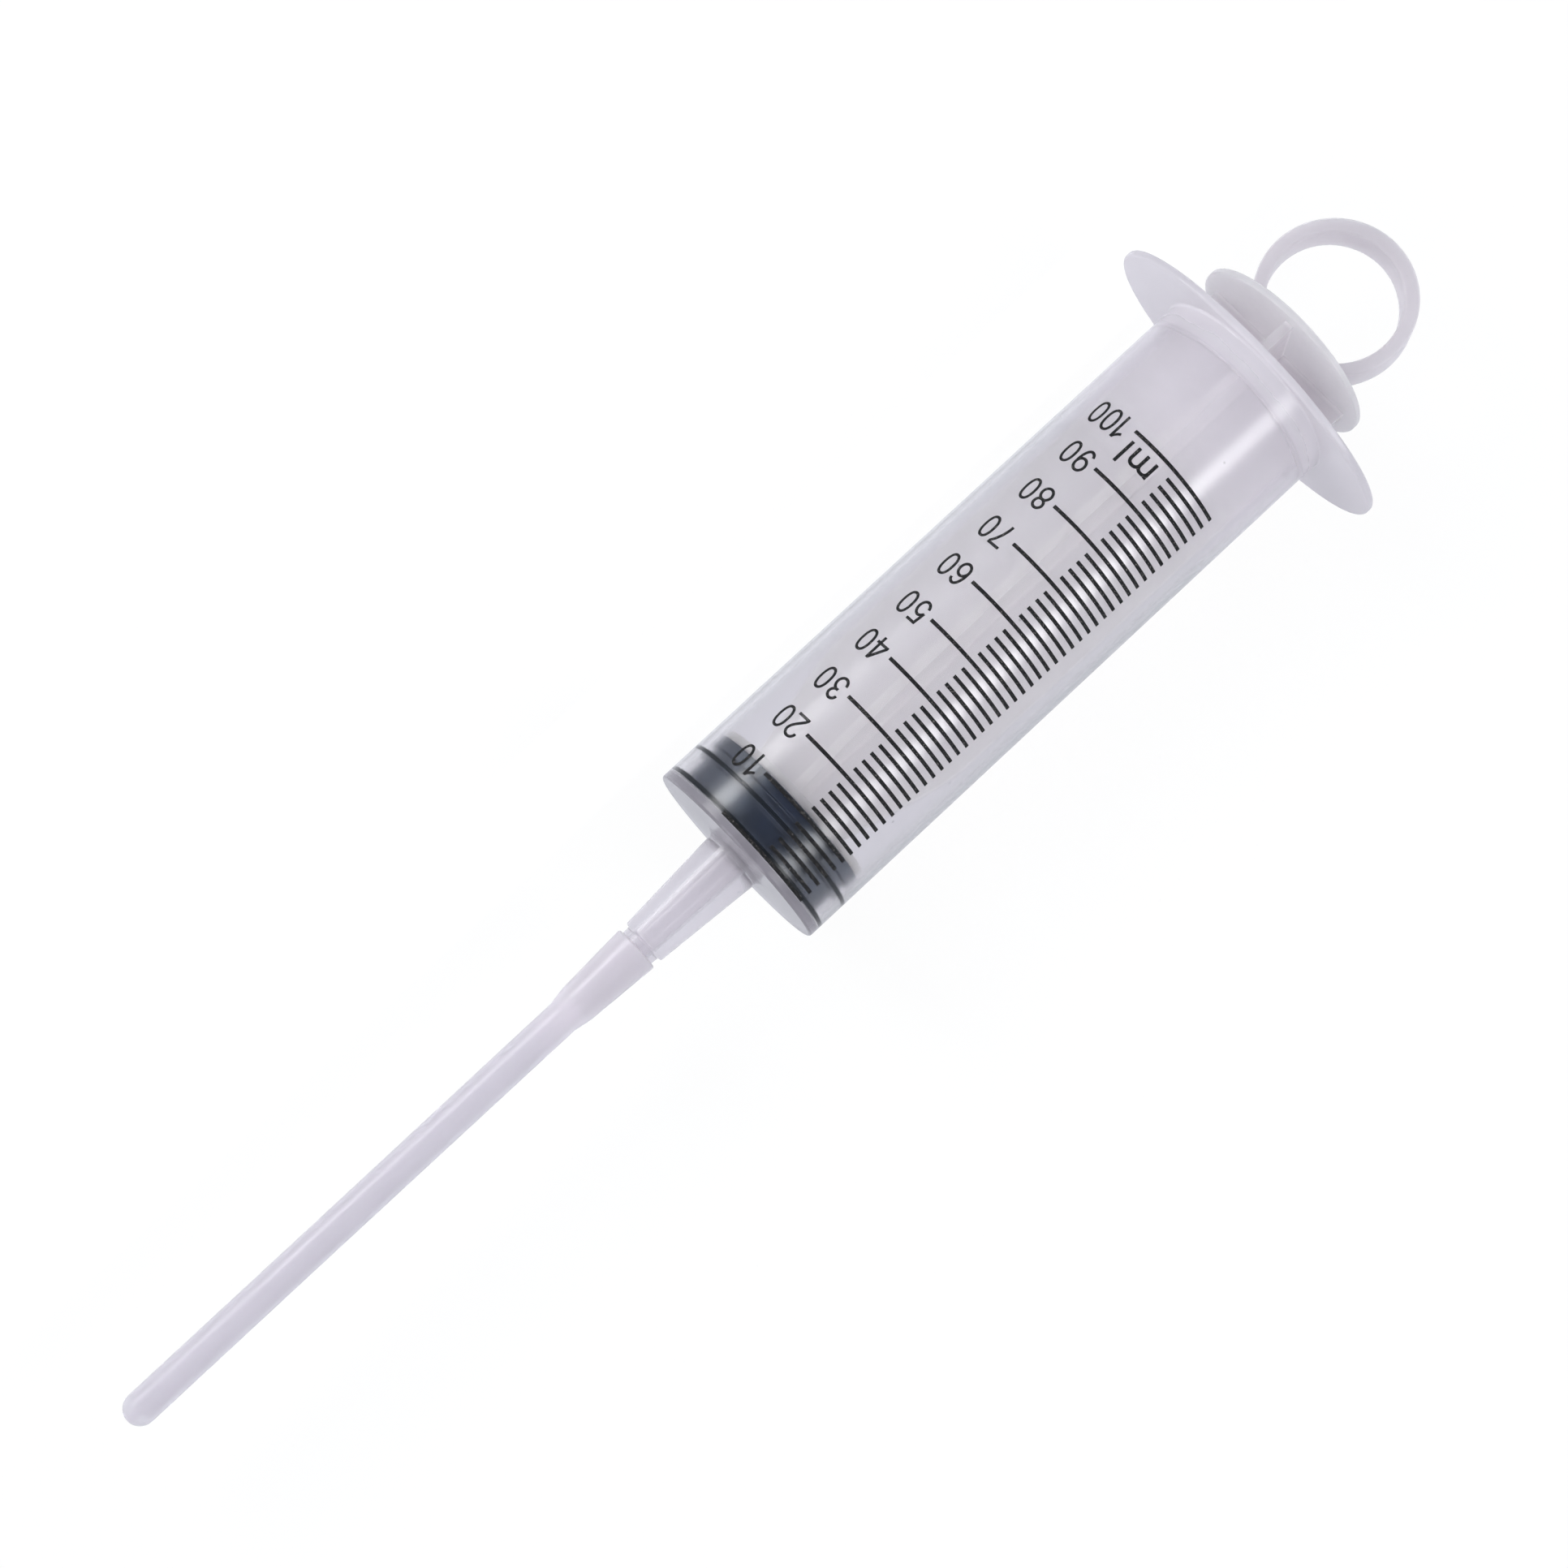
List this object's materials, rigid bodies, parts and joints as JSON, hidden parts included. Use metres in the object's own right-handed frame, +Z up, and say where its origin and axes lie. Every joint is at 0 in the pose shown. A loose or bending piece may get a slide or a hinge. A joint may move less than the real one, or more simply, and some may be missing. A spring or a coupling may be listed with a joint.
{
  "type": "meat injector syringe",
  "caption": "Large translucent plastic injector syringe with an oval finger flange, ring-handled plunger, black rubber stopper and long push-on tube.",
  "frame": {"origin": "on the barrel's axis in the plane of the scale's 0 ml line, where the stopper's front face stands when the plunger is pressed home", "axes": "+X along the barrel from the tube's tip towards the finger ring, +Z up with the oval flange's long side level along Y, as the syringe lies on a table"},
  "size_m": [0.3093, 0.0642, 0.0404],
  "materials": {
    "barrel_plastic": "translucent natural polypropylene, smooth and faintly milky, with a black printed millilitre scale",
    "plunger_plastic": "translucent natural polypropylene, satin",
    "stopper_rubber": "smooth black moulded rubber with a light silicone film",
    "scale_ink": "black printed millilitre scale on the barrel",
    "tube_plastic": "translucent soft plastic, smooth"
  },
  "bodies": {
    "barrel": {"barrel": "barrel_plastic"},
    "stopper": {"rubber_stopper": "stopper_rubber"},
    "plunger": {"plunger": "plunger_plastic"},
    "tube": {"injection_tube": "tube_plastic"}
  },
  "joints": [
    {"name": "plunger_slide", "type": "slide", "parent": "barrel", "child": "stopper", "axis": [1, 0, 0], "range_m": [0, 0.112]},
    {"name": "plunger_turn", "type": "hinge", "parent": "stopper", "child": "plunger", "pos_m": [0, 0, 0], "axis": [1, 0, 0], "continuous": true},
    {"name": "tube_pull", "type": "slide", "parent": "barrel", "child": "tube", "axis": [-1, 0, 0], "range_m": [0, 0.02]}
  ]
}
